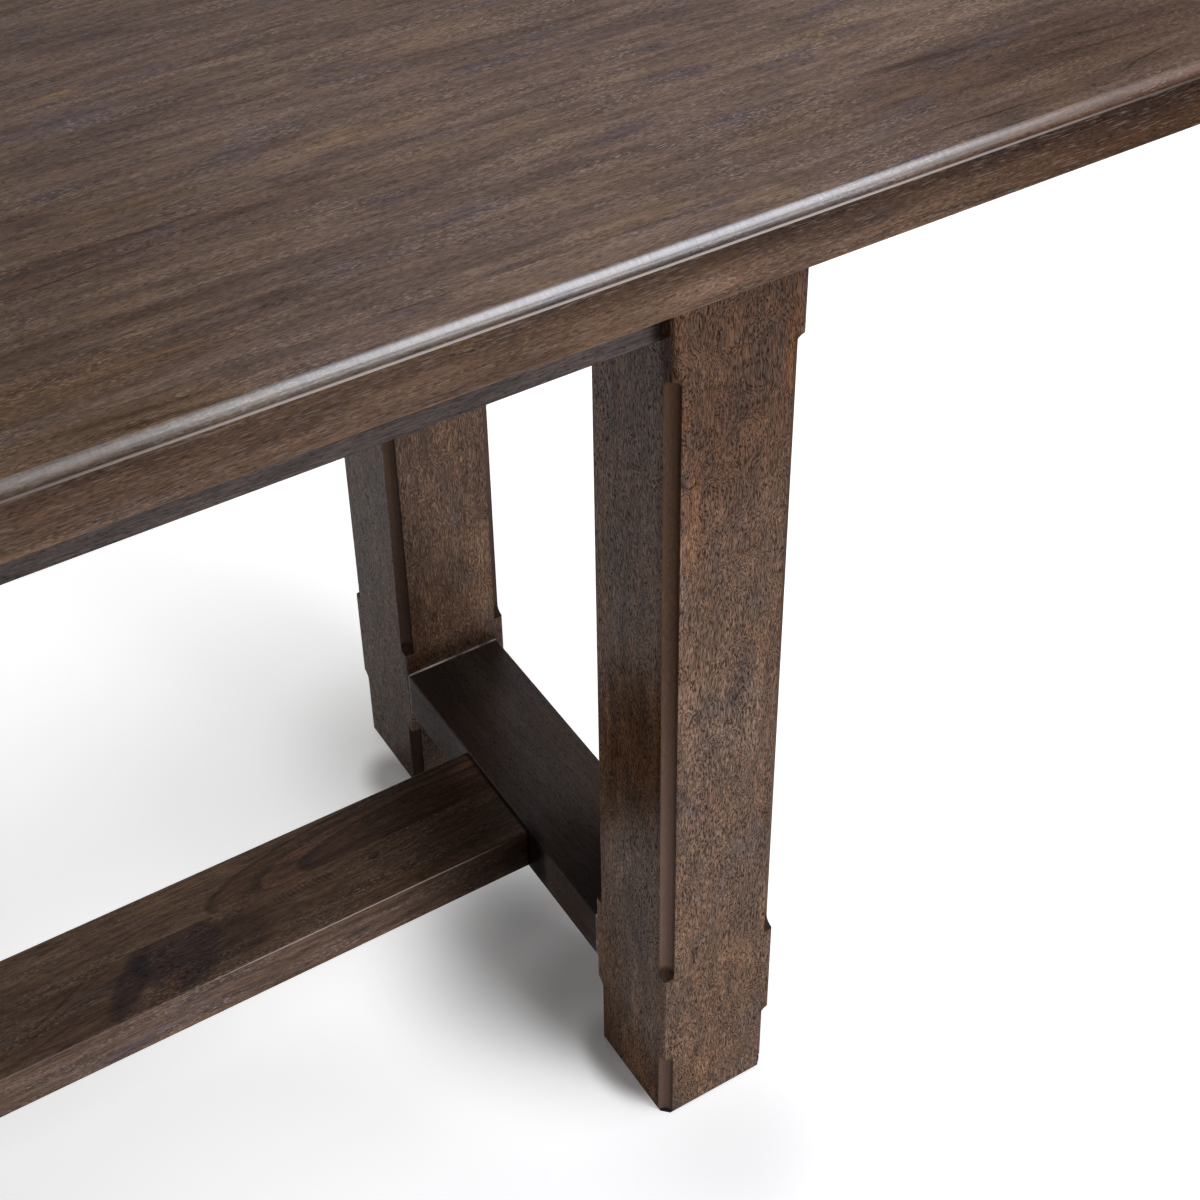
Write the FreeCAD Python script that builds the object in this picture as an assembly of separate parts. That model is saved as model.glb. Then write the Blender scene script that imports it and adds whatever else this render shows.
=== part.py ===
import FreeCAD, Part
import os
from math import atan2, cos, degrees, pi, sin

Vector = FreeCAD.Vector

# Bar table on two trestles, in dark stained wood. All lengths are millimetres.
# X runs along the table, Y across it from the front to the back, Z up from the floor.
# The origin is on the floor, under the middle of the top.

# Overall sizes
overall_height = 1067.0
top_length = 1829.0
top_thickness = 51.0
front_overhang = 72.5
end_overhang = 400.0
leg_side = 122.0
leg_gap = 398.0

# Top: edge-glued boards, of which the front one is sawn narrow
board_count = 9
front_board_share = 0.43
edge_round = 8.5
edge_step = 2.0
lower_edge_ease = 2.0
corner_ease = 2.0

# Legs: square, with a cove routed along each corner between the square blocks
leg_arris = 1.5
foot_ease = 1.0
cove_radius = 10.0
head_block_height = 116.5
joint_block_low = 92.0
joint_block_high = 209.0

# Rails of a trestle: a low rail at stretcher height, and a head rail under the top
rail_inner_setback = 0.5
rail_outer_setback = 10.0
low_rail_top_height = 180.0
low_rail_height = 60.0
head_rail_height = 60.0
rail_ease = 2.0
rail_tenon_width_share = 0.6
rail_tenon_height_share = 0.6
rail_tenon_length_share = 0.4

# Long stretcher: two pieces glued side by side, tenoned into the low rails
stretcher_width = 133.0
stretcher_height = 51.0
stretcher_drop = 4.0
stretcher_ease = 3.0
front_piece_share = 0.55
stretcher_tenon_width_share = 0.7
stretcher_tenon_height_share = 0.5
stretcher_tenon_length_share = 0.3

# Aprons between the trestles, tenoned into the legs
apron_height = 88.0
apron_thickness = 25.0
apron_setback = 15.0
apron_ease = 2.0
apron_tenon_thickness_share = 0.5
apron_tenon_height_share = 0.6
apron_tenon_length_share = 0.3

# Felt pads under the legs, cut to the foot and snipped straight across its coves
pad_setback = 1.5
pad_height = 2.0

# Bolts that hold the top down on the head rails
bolt_radius = 4.0
bolt_grip = 20.0
bolt_head_radius = 9.0
bolt_head_height = 5.0
bolt_place_shares = (-0.36, 0.36)
slot_travel = 4.0
socket_width_share = 0.5
socket_depth_share = 0.6
socket_sides = 6

# Fits
fit_clearance = 0.15
bolt_clearance = 0.6
mortise_end_room = 1.0
overrun = 5.0
parallel_share = 0.999

# Places that follow from the sizes
base_length = top_length - 2 * end_overhang
base_depth = leg_gap + 2 * leg_side
top_depth = base_depth + 2 * front_overhang
top_underside = overall_height - top_thickness
leg_x_out = base_length / 2
leg_x_in = leg_x_out - leg_side
leg_x = (leg_x_in + leg_x_out) / 2
leg_y_in = leg_gap / 2
leg_y_out = base_depth / 2
leg_y = (leg_y_in + leg_y_out) / 2
rail_x_in = leg_x_in + rail_inner_setback
rail_x_out = leg_x_out - rail_outer_setback
rail_x = (rail_x_in + rail_x_out) / 2
rail_width = rail_x_out - rail_x_in
rail_tenon_length = leg_side * rail_tenon_length_share
low_rail_bottom = low_rail_top_height - low_rail_height
head_rail_bottom = top_underside - head_rail_height
stretcher_top = low_rail_top_height - stretcher_drop
stretcher_bottom = stretcher_top - stretcher_height
stretcher_z = (stretcher_top + stretcher_bottom) / 2
stretcher_seam_y = stretcher_width * (front_piece_share - 1 / 2)
stretcher_tenon_length = rail_width * stretcher_tenon_length_share
apron_y_out = leg_y_out - apron_setback
apron_y_in = apron_y_out - apron_thickness
apron_y = (apron_y_in + apron_y_out) / 2
apron_bottom = top_underside - apron_height
apron_z = (apron_bottom + top_underside) / 2
apron_tenon_length = leg_side * apron_tenon_length_share
pad_side = leg_side - 2 * pad_setback
pad_snip = cove_radius - 2 * pad_setback
bolt_places = [leg_gap * share for share in bolt_place_shares]
bolt_length = head_rail_height + bolt_grip

along_x = Vector(1, 0, 0)
along_y = Vector(0, 1, 0)
along_z = Vector(0, 0, 1)
centre = Vector(0, 0, 0)
full_turn = 360
quarter_turn = 90
pieces = {}


def box_between(x_low, x_high, y_low, y_high, z_low, z_high):
    """A block between two opposite corners."""
    return Part.makeBox(x_high - x_low, y_high - y_low, z_high - z_low, Vector(x_low, y_low, z_low))


def edges_along(shape, direction):
    """The straight edges of a shape that run along a direction."""
    found = []
    for edge in shape.Edges:
        run = edge.Vertexes[-1].Point.sub(edge.Vertexes[0].Point)
        if run.Length > 0 and abs(run.normalize().dot(direction)) > parallel_share:
            found.append(edge)
    return found


def edges_at(edges, height):
    """Those of some edges whose middle lies at a height."""
    return [edge for edge in edges if abs(edge.CenterOfMass.z - height) < fit_clearance]


def turned(points):
    """A solid of revolution about Z, from the radius and height of each corner of its outline."""
    corners = [Vector(radius, 0, height) for radius, height in points]
    outline = Part.makePolygon(corners + corners[:1])
    return Part.Face(outline).revolve(centre, along_z, full_turn)


def mirrored_x(shape):
    """The same piece at the other end of the table."""
    return shape.mirror(centre, along_x)


def mirrored_y(shape):
    """The same piece at the other long side of the table."""
    return shape.mirror(centre, along_y)


def edge_profile(reach):
    """The section across the top: eased below, a plain face, a small step, and a quarter-round above."""
    step_z = overall_height - edge_round
    low = Vector(reach - lower_edge_ease, 0, top_underside)
    face_low = Vector(reach, 0, top_underside + lower_edge_ease)
    face_high = Vector(reach, 0, step_z)
    round_low = Vector(reach - edge_step, 0, step_z)
    round_high = Vector(reach - edge_step - edge_round, 0, overall_height)
    bend = pi / 4
    ease_gap = lower_edge_ease * (1 - cos(bend))
    round_gap = edge_round * (1 - cos(bend))
    ease_middle = Vector(reach - ease_gap, 0, top_underside + ease_gap)
    round_middle = Vector(reach - edge_step - round_gap, 0, overall_height - round_gap)
    right = [
        Part.Arc(low, ease_middle, face_low).toShape(),
        Part.LineSegment(face_low, face_high).toShape(),
        Part.LineSegment(face_high, round_low).toShape(),
        Part.Arc(round_low, round_middle, round_high).toShape(),
    ]
    left = [edge.mirror(centre, along_x) for edge in right]
    top_line = Part.LineSegment(round_high, Vector(-round_high.x, 0, overall_height)).toShape()
    bottom_line = Part.LineSegment(low, Vector(-low.x, 0, top_underside)).toShape()
    edges = Part.sortEdges(right + left + [top_line, bottom_line])[0]
    return Part.Face(Part.Wire(edges))


def add_top():
    """A slab from two crossing bars of the edge's section, which mitres the mouldings, cut into boards."""
    long_side = top_length / 2
    short_side = top_depth / 2
    across = edge_profile(long_side)
    across.translate(Vector(0, -short_side, 0))
    along = edge_profile(short_side)
    along.rotate(centre, along_z, quarter_turn)
    along.translate(Vector(-long_side, 0, 0))
    slab = across.extrude(Vector(0, top_depth, 0)).common(along.extrude(Vector(top_length, 0, 0)))
    plan = box_between(-long_side, long_side, -short_side, short_side, top_underside, overall_height)
    slab = slab.common(plan.makeFillet(corner_ease, edges_along(plan, along_z)))
    holes = []
    for x in (-rail_x, rail_x):
        for y in bolt_places:
            holes.append(Part.makeCylinder(bolt_radius + fit_clearance, bolt_grip + mortise_end_room,
                                           Vector(x, y, top_underside)))
    slab = slab.cut(holes)
    board_width = top_depth / (board_count - 1 + front_board_share)
    low = -short_side
    for number in range(1, board_count + 1):
        width = board_width * front_board_share if number == 1 else board_width
        strip = box_between(-long_side, long_side, low, low + width, top_underside, overall_height)
        pieces[f"top_board_{number}"] = slab.common(strip)
        low = low + width


def apron_tenons(growth, end_room):
    """The tenons of the front apron as one bar along the table; grown a little, it is their mortises."""
    side = apron_thickness * apron_tenon_thickness_share / 2 + growth
    rise = apron_height * apron_tenon_height_share / 2 + growth
    reach = leg_x_in + apron_tenon_length + end_room
    return box_between(-reach, reach, -apron_y - side, -apron_y + side, apron_z - rise, apron_z + rise)


def add_aprons():
    """An apron at each long side, with its lower edges eased and a tenon at each end."""
    body = box_between(-leg_x_in, leg_x_in, -apron_y_out, -apron_y_in, apron_bottom, top_underside)
    body = body.makeFillet(apron_ease, edges_at(edges_along(body, along_x), apron_bottom))
    front = body.fuse(apron_tenons(0, 0)).removeSplitter()
    pieces["apron_front"] = front
    pieces["apron_back"] = mirrored_y(front)


def rail_tenons(low, high, growth, end_room):
    """The tenons of a trestle's rail as one bar across the table; grown a little, it is their mortises."""
    middle = (low + high) / 2
    side = rail_width * rail_tenon_width_share / 2 + growth
    rise = (high - low) * rail_tenon_height_share / 2 + growth
    reach = leg_y_in + rail_tenon_length + end_room
    return box_between(rail_x - side, rail_x + side, -reach, reach, middle - rise, middle + rise)


def rail(low, high):
    """A rail between the legs of the right-hand trestle, with a tenon at each end."""
    body = box_between(rail_x_in, rail_x_out, -leg_y_in, leg_y_in, low, high)
    body = body.makeFillet(rail_ease, edges_along(body, along_y))
    return body.fuse(rail_tenons(low, high, 0, 0)).removeSplitter()


def routed_cove(x, y, low, high):
    """The path of a ball-nosed cutter along a corner: a round bar with domed ends."""
    bend = pi / 4
    side = cove_radius * sin(bend)
    rise = cove_radius * (1 - cos(bend))
    foot = Vector(cove_radius, 0, low + cove_radius)
    head = Vector(cove_radius, 0, high - cove_radius)
    outline = Part.Wire([
        Part.Arc(Vector(0, 0, low), Vector(side, 0, low + rise), foot).toShape(),
        Part.LineSegment(foot, head).toShape(),
        Part.Arc(head, Vector(side, 0, high - rise), Vector(0, 0, high)).toShape(),
        Part.LineSegment(Vector(0, 0, high), Vector(0, 0, low)).toShape(),
    ])
    bar = Part.Face(outline).revolve(centre, along_z, full_turn)
    bar.rotate(centre, along_z, degrees(atan2(y, x)))
    return bar.translate(Vector(x, y, 0))


def leg():
    """The front right-hand leg: coved corners between square blocks, and three mortises."""
    side = leg_side / 2
    body = box_between(-side, side, -side, side, pad_height, top_underside)
    body = body.makeChamfer(leg_arris, edges_along(body, along_z))
    body = body.makeChamfer(foot_ease, edges_at(body.Edges, pad_height))
    coves = []
    for x in (-side, side):
        for y in (-side, side):
            coves.append(routed_cove(x, y, joint_block_high, top_underside - head_block_height))
            coves.append(routed_cove(x, y, pad_height - cove_radius - overrun, joint_block_low))
    body = body.cut(coves).translate(Vector(leg_x, -leg_y, 0))
    mortises = [
        rail_tenons(low_rail_bottom, low_rail_top_height, fit_clearance, mortise_end_room),
        rail_tenons(head_rail_bottom, top_underside, fit_clearance, mortise_end_room),
        apron_tenons(fit_clearance, mortise_end_room),
    ]
    return body.cut(mortises)


def add_legs():
    """Four legs, mirrored from one."""
    front_right = leg()
    pieces["leg_front_right"] = front_right
    pieces["leg_back_right"] = mirrored_y(front_right)
    pieces["leg_front_left"] = mirrored_x(front_right)
    pieces["leg_back_left"] = mirrored_x(mirrored_y(front_right))


def add_foot_pads():
    """A felt pad stuck under each leg, with its corners snipped off."""
    side = pad_side / 2
    pad = box_between(-side, side, -side, side, 0, pad_height)
    pad = pad.makeChamfer(pad_snip, edges_along(pad, along_z))
    for end, x in (("right", leg_x), ("left", -leg_x)):
        for face, y in (("front", -leg_y), ("back", leg_y)):
            pieces[f"foot_pad_{face}_{end}"] = pad.translated(Vector(x, y, 0))


def stretcher_tenons(growth, end_room):
    """The tenons of the long stretcher as one bar along the table; grown a little, it is their mortises."""
    side = stretcher_width * stretcher_tenon_width_share / 2 + growth
    rise = stretcher_height * stretcher_tenon_height_share / 2 + growth
    reach = rail_x_in + stretcher_tenon_length + end_room
    return box_between(-reach, reach, -side, side, stretcher_z - rise, stretcher_z + rise)


def add_low_rails():
    """The low rail of each trestle, mortised on its inner side for the long stretcher."""
    mortise = stretcher_tenons(fit_clearance, mortise_end_room)
    low_rail = rail(low_rail_bottom, low_rail_top_height).cut(mortise)
    pieces["low_rail_right"] = low_rail
    pieces["low_rail_left"] = mirrored_x(low_rail)


def add_long_stretcher():
    """The long stretcher between the low rails, parted into its two glued pieces."""
    side = stretcher_width / 2
    body = box_between(-rail_x_in, rail_x_in, -side, side, stretcher_bottom, stretcher_top)
    body = body.makeFillet(stretcher_ease, edges_along(body, along_x))
    body = body.fuse(stretcher_tenons(0, 0)).removeSplitter()
    for name, low, high in (("front", -side, stretcher_seam_y), ("back", stretcher_seam_y, side)):
        strip = box_between(-leg_x_out, leg_x_out, low, high, stretcher_bottom, stretcher_top)
        pieces[f"long_stretcher_{name}_piece"] = body.common(strip)


def slot(y):
    """A bolt's way through the right-hand head rail, long enough for the top to swell and shrink."""
    radius = bolt_radius + bolt_clearance
    low = head_rail_bottom - overrun
    high = top_underside + overrun
    ends = []
    for shift in (-slot_travel, slot_travel):
        ends.append(Part.makeCylinder(radius, high - low, Vector(rail_x, y + shift, low)))
    middle = box_between(rail_x - radius, rail_x + radius, y - slot_travel, y + slot_travel, low, high)
    return middle.fuse(ends).removeSplitter()


def add_head_rails():
    """The head rail of each trestle, slotted for the bolts."""
    slots = [slot(y) for y in bolt_places]
    head_rail = rail(head_rail_bottom, top_underside).cut(slots)
    pieces["head_rail_right"] = head_rail
    pieces["head_rail_left"] = mirrored_x(head_rail)


def add_top_bolts():
    """Flat-headed socket bolts, up through the head rails into the top."""
    bolt = turned([(0, -bolt_head_height), (bolt_head_radius, -bolt_head_height), (bolt_head_radius, 0),
                   (bolt_radius, 0), (bolt_radius, bolt_length), (0, bolt_length)])
    socket_reach = bolt_head_radius * socket_width_share
    corners = []
    for index in range(socket_sides + 1):
        turn = 2 * pi * index / socket_sides
        corners.append(Vector(socket_reach * cos(turn), socket_reach * sin(turn), -bolt_head_height))
    socket_depth = bolt_head_height * socket_depth_share
    bolt = bolt.cut(Part.Face(Part.makePolygon(corners)).extrude(Vector(0, 0, socket_depth)))
    bolts = []
    for x in (-rail_x, rail_x):
        for y in bolt_places:
            bolts.append(bolt.translated(Vector(x, y, head_rail_bottom)))
    pieces["top_bolts"] = Part.makeCompound(bolts)


add_top()
add_aprons()
add_legs()
add_foot_pads()
add_low_rails()
add_long_stretcher()
add_head_rails()
add_top_bolts()

os.makedirs("parts", exist_ok=True)
for name, shape in pieces.items():
    shape.exportStep(f"parts/{name}.step")
    print(name, len(shape.Solids), "solids", round(shape.Volume), "mm3", shape.isValid())
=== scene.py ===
# %% [markdown]
# A bar-height trestle table in dark stained wood. Every piece of it is already a solid in the packed
# model: boards, legs, rails, aprons, stretcher, bolts and pads. This lesson loads that model as a fixed
# frame and gives each piece its finish, so the main work here is wood: how a board is cut from a log,
# what stain does to it, and how soft light shows it.

# %% Load the frame
import bpy
from math import pi, radians
from mathutils import Matrix, Vector


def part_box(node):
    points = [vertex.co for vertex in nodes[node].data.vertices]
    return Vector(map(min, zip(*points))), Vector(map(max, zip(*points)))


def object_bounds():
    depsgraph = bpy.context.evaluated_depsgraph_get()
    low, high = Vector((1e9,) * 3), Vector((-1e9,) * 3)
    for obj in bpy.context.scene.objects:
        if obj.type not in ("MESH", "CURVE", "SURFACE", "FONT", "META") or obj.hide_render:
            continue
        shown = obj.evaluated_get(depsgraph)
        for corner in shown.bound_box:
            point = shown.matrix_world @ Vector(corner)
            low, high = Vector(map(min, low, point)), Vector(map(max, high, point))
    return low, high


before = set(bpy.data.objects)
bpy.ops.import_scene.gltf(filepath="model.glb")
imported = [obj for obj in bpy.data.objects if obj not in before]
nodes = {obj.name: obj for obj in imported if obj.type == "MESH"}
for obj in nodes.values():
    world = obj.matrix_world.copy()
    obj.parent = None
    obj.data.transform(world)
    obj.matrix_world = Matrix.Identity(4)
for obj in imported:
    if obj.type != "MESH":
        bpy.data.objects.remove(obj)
cad_low, cad_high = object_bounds()
print("pieces of the frame:", len(nodes))

# %% [markdown]
# The camera stands where the photographer stood: left of the near leg, above the top, looking down and to
# the right. The picture seems to be a crop of a larger one, so the lens is shifted a little downwards. The
# camera could be tilted further instead, but that would bend the perspective of the legs.

# %% Camera
camera_place = (-0.2929, -1.3512, 1.8045)
look_right = 31.09
look_down = 37.40
camera_roll = -0.99
camera_lens = 63.02
camera_shift = (0.003, -0.1428)

camera = bpy.data.objects.new("camera", bpy.data.cameras.new("camera"))
bpy.context.scene.collection.objects.link(camera)
bpy.context.scene.camera = camera
turn = (Matrix.Rotation(radians(-look_right), 4, "Z") @ Matrix.Rotation(radians(90 - look_down), 4, "X")
        @ Matrix.Rotation(radians(camera_roll), 4, "Z"))
camera.matrix_world = Matrix.Translation(camera_place) @ turn
camera.data.sensor_width = 36
camera.data.lens = camera_lens
camera.data.shift_x, camera.data.shift_y = camera_shift
camera.data.clip_start = 0.05
print("camera", [round(value, 3) for value in camera.location])

# %% [markdown]
# Shader maths reads best as plain sums. Wiring Math nodes by hand hides the formula, so `Value` wraps one
# output of a node, and `1 - mask * 0.5` adds the Math nodes by itself.

# %% Values in a sum
class Value:
    """One output of a shader node, which can stand in a sum as a number does."""

    def __init__(self, shader, socket):
        self.shader = shader
        self.socket = socket

    def __add__(self, other):
        return self.shader.math("ADD", self, other)

    __radd__ = __add__

    def __sub__(self, other):
        return self.shader.math("SUBTRACT", self, other)

    def __rsub__(self, other):
        return self.shader.math("SUBTRACT", other, self)

    def __mul__(self, other):
        return self.shader.math("MULTIPLY", self, other)


# %% [markdown]
# `Shader` is a node tree under construction: `node` adds any shader node, sets it up and feeds its sockets
# with numbers or with other values, and the rest are short names for the nodes that come up most often. The
# same trees could be wired in the editor; in code, a finish reads as a list of what was done to the wood.

# %% A shader under construction
millimetre = 0.001


class Shader:
    """The node tree of a material or of the world, under construction."""

    def __init__(self, tree):
        self.tree = tree

    def feed(self, socket, value):
        """Links a value to a socket, or sets the socket to a number or a colour."""
        if isinstance(value, Value):
            self.tree.links.new(value.socket, socket)
        else:
            socket.default_value = value

    def node(self, kind, settings, sockets, output=0):
        """Adds a node: its settings first, then its sockets; gives back one of its outputs."""
        made = self.tree.nodes.new(kind)
        for name, value in settings.items():
            setattr(made, name, value)
        for name, value in sockets.items():
            self.feed(made.inputs[name], value)
        return Value(self, made.outputs[output])

    def math(self, operation, *values):
        return self.node("ShaderNodeMath", {"operation": operation}, dict(enumerate(values)))

    def vector(self, operation, *values):
        output = 1 if operation in ("LENGTH", "DOT_PRODUCT") else 0
        return self.node("ShaderNodeVectorMath", {"operation": operation}, dict(enumerate(values)), output)

    def scaled(self, vector, factor):
        return self.node("ShaderNodeVectorMath", {"operation": "SCALE"}, {0: vector, 3: factor})

    def axis(self, vector, number):
        return self.node("ShaderNodeSeparateXYZ", {}, {0: vector}, number)

    def mix(self, share, first, second, blend="MIX"):
        """Mixes two colours. Sockets 6 and 7 of a Mix node are its colours, output 2 is their mix."""
        settings = {"data_type": "RGBA", "blend_type": blend, "clamp_factor": True}
        first, second = [(*colour, 1) if isinstance(colour, tuple) else colour for colour in (first, second)]
        return self.node("ShaderNodeMix", settings, {0: share, 6: first, 7: second}, 2)

    def ramp(self, value, low, high, to_low=0.0, to_high=1.0):
        """A soft step: to_low at low, to_high at high, and an even curve between them."""
        sockets = {"Value": value, 1: low, 2: high, 3: to_low, 4: to_high}
        return self.node("ShaderNodeMapRange", {"interpolation_type": "SMOOTHSTEP"}, sockets)

    def noise(self, place, stretch, shift, detail=2.0, roughness=0.5, output=0):
        """Cloudy noise from 0 to 1; stretch gives how many clouds there are per metre along each axis."""
        moved = self.vector("MULTIPLY_ADD", place, stretch, (shift, 1.37 * shift, 0.71 * shift))
        sockets = {"Vector": moved, "Scale": 1.0, "Detail": detail, "Roughness": roughness}
        return self.node("ShaderNodeTexNoise", {}, sockets, output)

    def spot(self, place, centre, half_size, core, lean=(0, 0, 0)):
        """An egg shape, sized in millimetres: 1 in its core, which is a share of its size, and 0 outside."""
        sockets = {"Vector": place, "Location": [millimetre * value for value in centre],
                   "Rotation": [radians(value) for value in lean],
                   "Scale": [millimetre * value for value in half_size]}
        inside = self.node("ShaderNodeMapping", {"vector_type": "TEXTURE"}, sockets)
        return self.ramp(self.vector("LENGTH", inside), 1.0, core)

    def object_place(self):
        """Where a point lies in the model, in metres."""
        return self.node("ShaderNodeTexCoord", {}, {}, 3)


# %% [markdown]
# A piece of the frame keeps its shape, and only its material changes. All the wood could share one material,
# but then every piece would look cut from one log, so each piece of wood gets a material of its own.

# %% Materials
def new_finish(name):
    """A new material with its shader tree and its surface node."""
    material = bpy.data.materials.new(name)
    material.use_nodes = True
    return material, Shader(material.node_tree), material.node_tree.nodes["Principled BSDF"]


def cover(node, material):
    """Gives a piece of the frame one material."""
    mesh = nodes[node].data
    mesh.materials.clear()
    mesh.materials.append(material)


# %% [markdown]
# Wood is a solid with a direction. A point in a piece is read as `along` the grain and two distances
# across it. The growth rings are circles around a pith line that runs outside most sawn pieces, a little
# askew, so a face that cuts them at a slant shows arches and one that cuts them square shows stripes, and
# the ends show the rings themselves. Everything below is measured in that turned space, in metres.

# %% Grain
turns = {"x": (0, 0, 0), "y": (0, 0, -pi / 2), "z": (0, pi / 2, 0)}
axes = {"x": (1, 0, 0), "y": (0, 1, 0), "z": (0, 0, 1)}
drift_scale = (1.6, 5, 5)


def grain_space(shader, node, grain, look, shift):
    """A point in the model, the same along and across the grain, and the same where the grain bends."""
    low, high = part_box(node)
    middle = (Vector(low) + Vector(high)) / 2
    rotation = Matrix.Rotation(turns[grain][2], 3, "Z") @ Matrix.Rotation(turns[grain][1], 3, "Y")
    here = shader.object_place()
    place = shader.node("ShaderNodeMapping", {}, {
        "Vector": here, "Location": -(rotation @ middle), "Rotation": turns[grain]})

    # The grain wanders: a slow drift, and a quicker wave that makes the figure
    drift = (shader.noise(place, drift_scale, shift) - 0.5) * look["drift"]
    wave = (shader.noise(place, look["wave_scale"], shift + 7.3) - 0.5) * look["wave"]
    bend = shader.node("ShaderNodeCombineXYZ", {}, {"X": 0.0, "Y": drift + wave, "Z": drift - wave})
    return here, place, shader.vector("ADD", place, bend)


# %% [markdown]
# What a saw cuts through in that space: rings, fibres, streaks, clouds of colour and open pores. A picture
# of wood would stop at the edges of a face; noise in the solid runs round every edge, as real grain does.
# Each pattern adds a number of its own to the shift of the piece, so no two patterns fall in step.

# %% Patterns in the wood
def grain_patterns(shader, bent, look, shift):
    """The patterns of a piece of wood, by name."""
    # Growth rings round the pith line
    lean = shader.node("ShaderNodeMapping", {"vector_type": "TEXTURE"}, {
        "Vector": bent, "Location": look["pith"], "Rotation": look["lean"]})
    rings = shader.vector("LENGTH", shader.vector("MULTIPLY", lean, (0, 1, 1)))
    ring_place = shader.node("ShaderNodeCombineXYZ", {}, {"X": rings, "Y": 0.0, "Z": 0.0})

    # Pale flecks where cut pores hold finish; they come in crowds
    crowd = shader.noise(bent, look["crowd_scale"], shift + 4.6, 2.0)
    flecks = shader.noise(bent, look["fleck_scale"], shift + 5.4, 1.0)

    # Figure: level lines of slow hills, as a plane leaves them where the grain rises and dips
    hills = shader.noise(bent, look["figure_scale"], shift + 12.3, 1.0, 0.4)
    figure = shader.math("SINE", hills * look["figure_lines"])

    # Dark open pores
    pores = shader.ramp(shader.noise(bent, look["pore_scale"], shift + 6.9, 1.0), *look["pore_span"])
    return {
        "bands": shader.noise(ring_place, (look["rings"], 1, 1), shift + 1.7, 3.0, 0.6),
        "fibres": shader.noise(bent, look["fibre_scale"], shift + 2.1, 2.0, 0.6),
        "streaks": shader.noise(bent, look["streak_scale"], shift + 3.9, 3.0, 0.6),
        "clouds": shader.noise(bent, look["cloud_scale"], shift + 8.8, 3.0, 0.55),
        "smoke": shader.noise(bent, look["smoke_scale"], shift + 9.9, 3.0, 0.6),
        "flecks": shader.ramp(flecks, 0.54, 0.68) * shader.ramp(crowd, 0.44, 0.62),
        "figure": figure,
        "pores": pores * (0.75 + figure * 0.25),
    }


# %% [markdown]
# Stain follows those patterns: it takes well between the rings, gathers in clouds and fills the pores. What
# chance can't give, such as one dark streak at one place, is a mark: a soft egg shape that tints the colour.

# %% Stain
def stain(shader, cut, look):
    """The colour of a piece of wood, from its ground tone to the last fleck."""
    colour = shader.mix(shader.ramp(cut["bands"], 0.32, 0.68), look["dark"], look["light"])
    colour = shader.mix(shader.ramp(cut["clouds"], 0.46, 0.70) * look["gold_share"], colour, look["gold"])
    colour = shader.mix(shader.ramp(cut["smoke"], 0.54, 0.70) * look["smoke_share"], colour, look["smoke"])
    fibre, streak = look["fibre_share"], look["streak_share"]
    tone = shader.ramp(cut["fibres"], 0.30, 0.70, 1 - fibre, 1 + fibre)
    tone = tone * shader.ramp(cut["streaks"], 0.30, 0.70, 1 - streak, 1 + streak)
    tone = tone * (1 - cut["pores"] * look["pore_share"]) * (1 + cut["figure"] * look["figure_share"])
    colour = shader.scaled(colour, tone)
    return shader.mix(cut["flecks"] * look["fleck_share"], colour, look["fleck"])


fray_scale = (14, 70, 70)
usual_core = 0.3


def add_marks(shader, here, place, look, shift, marks, colour):
    """Tints the colour by the listed marks, with edges that the grain frays."""
    fray = shader.noise(place, fray_scale, shift + 6.1, 2.0, 0.5, 1)
    fray = shader.vector("MULTIPLY", shader.vector("SUBTRACT", fray, (0.5, 0.5, 0.5)), look["fray"])
    frayed = shader.vector("ADD", here, fray)
    for centre, half_size, slant, tint, *core in marks:
        mask = shader.spot(frayed, centre, half_size, core[0] if core else usual_core, slant)
        colour = shader.mix(mask, colour, tint, "MULTIPLY")
    return colour


# %% [markdown]
# The finish is a thin satin lacquer over rough wood. One smooth surface would look like plastic, so a coat
# gives both: the wood below stays dull, and the coat alone mirrors the studio. It has sunk into the pores,
# which stay dull and dark. End grain drinks more stain than the faces do.

# %% Wood
wood_roughness = 0.6
lacquer_roughness = 0.3
relief_height = 0.4 * millimetre
end_stain = 0.6
sunk_in_pores = 0.85


def wood(node, grain, look, shift, marks=(), after=None, polish=None, dull=None):
    """Gives a piece of the frame its stained wood: the grain first, then the listed marks."""
    material, shader, surface = new_finish(f"{node}_wood")
    here, place, bent = grain_space(shader, node, grain, look, shift)
    cut = grain_patterns(shader, bent, look, shift)
    colour = add_marks(shader, here, place, look, shift, marks, stain(shader, cut, look))
    if after:
        colour = after(shader, here, place, colour)
    normal = shader.node("ShaderNodeNewGeometry", {}, {}, 1)
    end = shader.math("ABSOLUTE", shader.vector("DOT_PRODUCT", normal, axes[grain]))
    colour = shader.mix(shader.ramp(end, 0.35, 0.95) * end_stain, colour, look["end"])
    shader.feed(surface.inputs["Base Color"], colour)
    surface.inputs["Roughness"].default_value = wood_roughness
    surface.inputs["Specular IOR Level"].default_value = 0.0

    hills = cut["fibres"] * 0.5 - cut["pores"] * 0.7 - cut["flecks"] * 0.3
    relief = shader.node("ShaderNodeBump", {}, {
        "Strength": look["relief"], "Distance": relief_height, "Height": hills})
    shader.feed(surface.inputs["Normal"], relief)

    lacquer = (1 - cut["pores"] * sunk_in_pores) * look["lacquer"]
    if dull:
        lacquer = lacquer * (1 - dull(shader, here, place))
    if polish:
        lacquer = shader.math("MAXIMUM", lacquer, polish(shader, here))
    shader.feed(surface.inputs["Coat Weight"], lacquer)
    surface.inputs["Coat Roughness"].default_value = lacquer_roughness
    surface.inputs["Coat IOR"].default_value = look["gloss"]
    cover(node, material)
    print(node, "has marks:", len(marks), "shader nodes:", len(shader.tree.nodes))


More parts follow.
